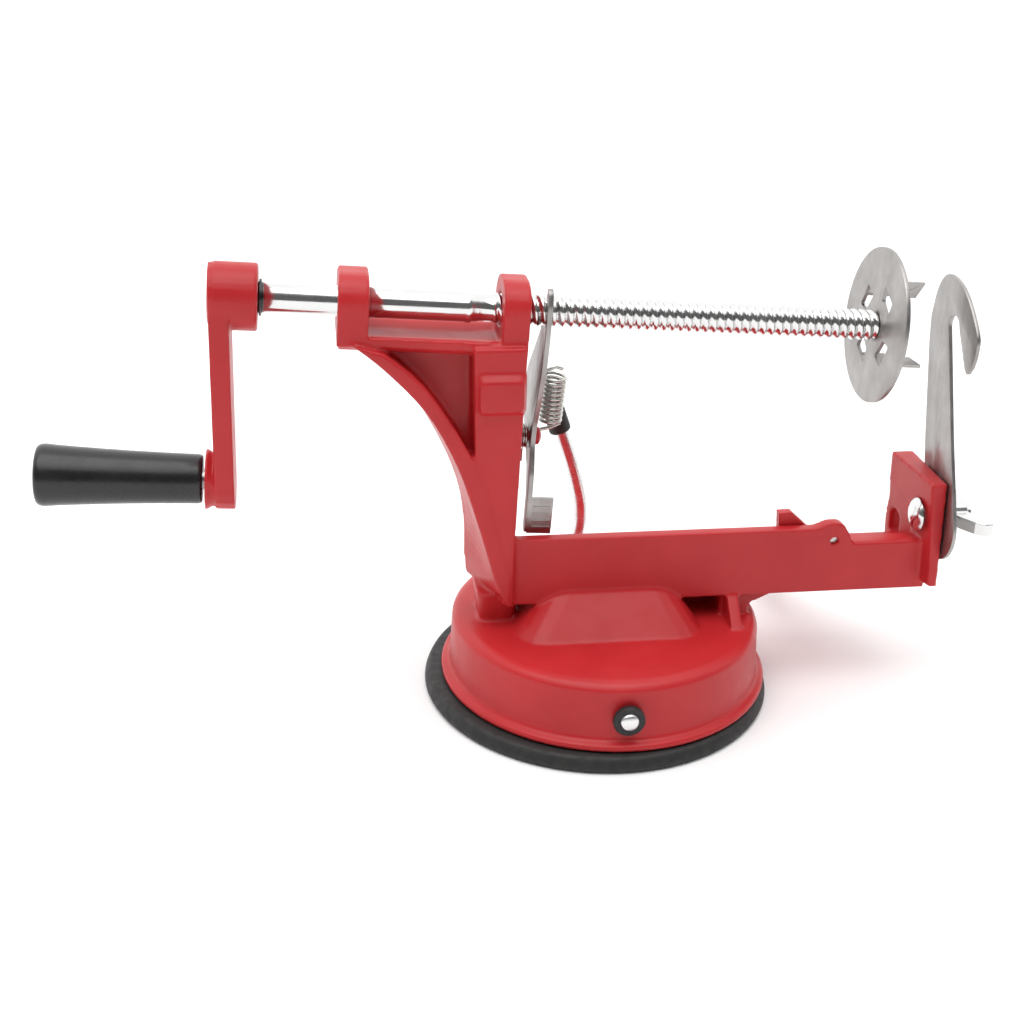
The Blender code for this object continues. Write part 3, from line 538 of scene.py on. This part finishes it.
def fork():
    """The punched disc: four windows, and the prong that was bent out of each."""
    face = FORK_FACE
    rim = arc((0, 0), FORK_RADIUS, 0, 360 - 360 / 160, 159)
    plate = slab("fork_plate", rim, face, face + FORK_THICKNESS, SHAFT)
    for number in range(4):
        angle = math.radians(28 + 90 * number)
        out = Vector((math.cos(angle), math.sin(angle)))
        side = Vector((-out.y, out.x))
        corners = [(7.6, 5.0), (8.2, -1.8), (12.6, -3.4), (12.9, 4.4)]
        window = [tuple(out * a + side * b) for a, b in corners]
        boolean(plate, slab("window", rounded(window, 0.7), face - 2, face + 3, SHAFT))
        width = (out * math.cos(PRONG_TWIST) + side * math.sin(PRONG_TWIST)) * 2.4
        rings = []
        for depth in (-0.5, 0.5):
            inner = out * PRONG_RADIUS + Vector((-width.y, width.x)).normalized() * depth - width
            outer = inner + 2 * width
            ends = [(0.6, inner), (8.0, inner), (9.9, outer), (0.6, outer)]
            rings.append([(face + x, *end) for x, end in ends])
        boolean(plate, loft("prong", rings, SHAFT), "UNION")
    boolean(plate, slab("centre", arc((0, 0), 2.1, 0, 350, 35), face - 2, face + 3, SHAFT))
    settle(bevelled(plate, 0.15), "fork_disc", 30)
    rivet = [(0, face + 3.0), (1.2, face + 2.95), (2.4, face + 2.6), (3.3, face + 2.0), (3.6, face + 1.5),
             (1.9, face + 1.5), (1.9, face), (0, face)]
    settle(lathe("centre_rivet", rivet[::-1], on_shaft(), 48), "fork_rivet", 40)


def slicing_blade():
    place = Matrix.Translation((0, *BOLT)) @ Matrix.Rotation(-BLADE_TILT, 4, "X")
    foot = arc((-2.2, -3.0), 11.1, -180, 0, 28)
    knots = [(4.9, 61.5), (-0.5, 70.4), (-8, 73.5), (-18.6, 67.8), (-26.6, 55.6), (-26, 49.4), (-23.4, 45.4)]
    crown = [(point[0], point[1]) for point in smooth([(*knot, 0) for knot in knots], 9)]
    tip = [(-20.8, 43.6), (-20.0, 43.6), (-18.9, 45)]
    hook = [(-15.1, 56.7)] + arc((-11.4, 57.6), 3.5, 160, 0, 16)
    outline = foot + [(8.5, 22), (6.2, 54)] + crown + tip + hook + [(-10.4, 23.6), (-13.2, 0)]
    blade = slab("blade_plate", outline, BLADE_FACE, BLADE_FACE + BLADE_THICKNESS, place)
    slot_cut = arc((0, 3.5), 2.75, 0, 180, 14) + arc((0, -0.2), 2.75, 180, 360, 14)
    boolean(blade, slab("slot", slot_cut, BLADE_FACE - 3, BLADE_FACE + 4, place))
    settle(bevelled(blade, 0.22), "slicing_blade", 30)


def release_lever():
    face, hug = RELEASE_FACE, 5.0
    near = [(-3.0, 7.6), (-5.2, 6.6), (-6.7, 3.0), (-6.9, -8), (-6.3, -17), (-3.6, -26), (0.2, -35),
            (0.8, -42), (-2.6, -50), (-3.2, -58), (-3.2, -69.4)]
    foot = [(0.6, -69.4), (0.8, -58), (4.5, -50), (12.2, -43)]
    far = [(20.5, -35.5), (21.8, -30), (17.6, -22.4), (9.0, -13.2), (2.6, -6.4)]
    hugging = arc((0, 0), hug, -75, -245, 24)[1:-1]
    outline = rounded(near + foot + far, 1.6, 5) + hugging
    plate = slab("release_plate", outline, face, face + RELEASE_THICKNESS, SHAFT)
    corners = [(face + 0.6, -3.2), (face + 8.0, -3.2), (face + 8.0, -1.9), (face + 0.6, -1.9)]
    tab = [[(x, y, h) for x, y in corners] for h in (-69.3, -57.8)]
    boolean(plate, loft("tab", tab, SHAFT), "UNION")
    for row in range(5):
        h = -67.6 + 2.2 * row
        corners = [(-2.9, h), (-3.55, h + 0.2), (-3.55, h + 0.7), (-2.9, h + 0.9)]
        ridge = [[(x, y, z) for y, z in corners] for x in (face + 2.0, face + 7.4)]
        boolean(plate, loft("ridge", ridge, SHAFT), "UNION")
    boolean(plate, slab("eye", arc(RELEASE_PIVOT, 1.58, 0, 350, 35), face - 2, face + 4, SHAFT))
    settle(bevelled(plate, 0.12), "release_lever", 30)


def springs():
    t, h = RELEASE_PIVOT
    turns = [(x, t + a, h + b) for a, b, x in coil(3.4, -23.7, -21.1, 3.5, 28, math.radians(100))]
    upper = [(-23.7, t - 2.2, h + 20), (-23.7, t - 1.4, h + 9)]
    lower = [(-21.1, t + 4.4, h - 6), (-21.1, t + 4.0, h - 10)]
    settle(tube("stud_spring", upper + turns + lower, 0.38, SHAFT, 12), "release_spring", 0)

    top, bottom = Vector((-13.6, 14, 98.6)), Vector((-15.0, 14, 83.2))
    place = along(WORLD, bottom, top - bottom, (0, 1, 0))
    turns = [place @ Vector(point) for point in coil(3.1, 0, (top - bottom).length, 10.5)]
    tail = [(-20.6, 14, 80.8), (-18, 14, 81.0), (-14.6, 14, 81.6)]
    head = [(-16.2, 14, 100.2), (-13.6, 14, 101.2), (-11.4, 14, 100.4)]
    settle(tube("lever_spring", tail + turns + head, 0.55, WORLD, 14), "return_spring", 0)

    y, z = PEELER_AXIS
    turns = [(x, y + a, z + b) for a, b, x in coil(5.7, 67.2, 70.7, 3.5, 28, math.radians(70))]
    settle(tube("arm_spring", turns, 0.4, WORLD, 12), "peeler_spring", 0)
    x, z = EAR
    turns = [(x + b, depth, z + a) for a, b, depth in coil(2.1, -2.85, -1.3, 2, 28)]
    settle(tube("catch_spring", turns, 0.35, WORLD, 12), "latch_spring", 0)


# ---------------------------------------------------------------- fasteners


def fasteners():
    here = beside(*BOLT)
    face = BLADE_FACE + BLADE_THICKNESS
    head = [(0, 96.2), (1.4, 96.3), (2.8, 96.6), (4.1, 97.2), (5.0, 97.9), (5.3, 98.4)]
    shank = [(2.45, 98.4), (2.45, 115.0), (2.0, 115.6), (0, 115.8)]
    settle(lathe("dome_bolt", head + shank, here, 64), "carriage_bolt", 35)
    ring = [(2.65, face + 0.3), (5.4, face + 0.3), (5.6, face + 0.5), (5.6, face + 1.1),
            (5.4, face + 1.3), (2.65, face + 1.3)]
    settle(lathe("bolt_washer", ring, here, 64, True), "blade_washer", 40)


def wing_nut():
    """The nut's collar with its two cast ears, softened like the castings."""
    settle(cast("wing_casting", "wing_nut", 0.22, 8, 0.6), "wing_nut", 0)


def carried_over():
    """CAD nodes whose shape is already right get the finished materials."""
    for name, node in frame["nodes"].items():
        if not node.hide_render:
            node.data.materials.clear()
            node.data.materials.append(LOOKS[SLOT_OF[name]])


# ---------------------------------------------------------------- studio


def studio():
    bpy.ops.mesh.primitive_plane_add(size=60, location=(0, 0, -0.0003))
    floor = bpy.context.object
    floor.name = "floor"
    paper, _, _, out = shader("paper", (0.93, 0.93, 0.93), 0.9, 0.0)
    out.inputs["Specular IOR Level"].default_value = 0.0
    floor.data.materials.append(paper)

    world = bpy.data.worlds.new("studio")
    bpy.context.scene.world = world
    world.use_nodes = True
    nodes, links = world.node_tree.nodes, world.node_tree.links
    place = nodes.new("ShaderNodeTexCoord")
    lean = nodes.new("ShaderNodeVectorMath")
    lean.operation = "DOT_PRODUCT"
    lean.inputs[1].default_value = (0, 0.75, 0.66)
    lift = nodes.new("ShaderNodeMath")
    lift.operation = "MULTIPLY_ADD"
    lift.inputs[1].default_value = 0.5
    lift.inputs[2].default_value = 0.5
    sky = nodes.new("ShaderNodeValToRGB")
    stops = [(0.45, 0.14), (0.55, 0.25), (0.675, 1.35), (1.0, 1.35)]
    elements = sky.color_ramp.elements
    while len(elements) < len(stops):
        elements.new(0.5)
    for element, (position, value) in zip(elements, stops):
        element.position = position
        element.color = (value, value, value, 1)
    links.new(place.outputs["Generated"], lean.inputs[0])
    links.new(lean.outputs["Value"], lift.inputs[0])
    links.new(lift.outputs["Value"], sky.inputs["Fac"])
    links.new(sky.outputs["Color"], nodes["Background"].inputs["Color"])
    nodes["Background"].inputs["Strength"].default_value = 1.0

    light = bpy.data.lights.new("key", "SUN")
    light.angle = math.radians(60)
    light.energy = 1.5
    lamp = bpy.data.objects.new("key", light)
    lamp.rotation_euler = Vector((0.15, 0.35, -1.2)).to_track_quat("-Z", "Y").to_euler()
    bpy.context.scene.collection.objects.link(lamp)


def camera():
    """A view from a little to the left of the front, looking down, hardly rolled."""
    level = math.cos(CAMERA_ELEVATION)
    heading = Vector((math.sin(CAMERA_AZIMUTH), math.cos(CAMERA_AZIMUTH), 0))
    ahead = heading * level - Vector((0, 0, math.sin(CAMERA_ELEVATION)))
    right = Vector((math.cos(CAMERA_AZIMUTH), -math.sin(CAMERA_AZIMUTH), 0))
    up = right.cross(ahead)
    tilted = math.cos(CAMERA_ROLL) * right + math.sin(CAMERA_ROLL) * up
    upright = math.cos(CAMERA_ROLL) * up - math.sin(CAMERA_ROLL) * right
    lens = bpy.data.cameras.new("camera")
    lens.lens = CAMERA_LENS
    lens.clip_start = 0.01
    made = bpy.data.objects.new("camera", lens)
    turn = Matrix((tilted, upright, -ahead)).transposed().to_4x4()
    made.matrix_world = Matrix.Translation(Vector(CAMERA_PLACE) * MM) @ turn
    bpy.context.scene.collection.objects.link(made)
    bpy.context.scene.camera = made


def main():
    castings()
    screw()
    handle()
    suction_base()
    suction_lever()
    hub_ring()
    fork()
    slicing_blade()
    release_lever()
    springs()
    fasteners()
    wing_nut()
    carried_over()
    studio()
    camera()
    bpy.context.scene.view_settings.view_transform = "Standard"


main()
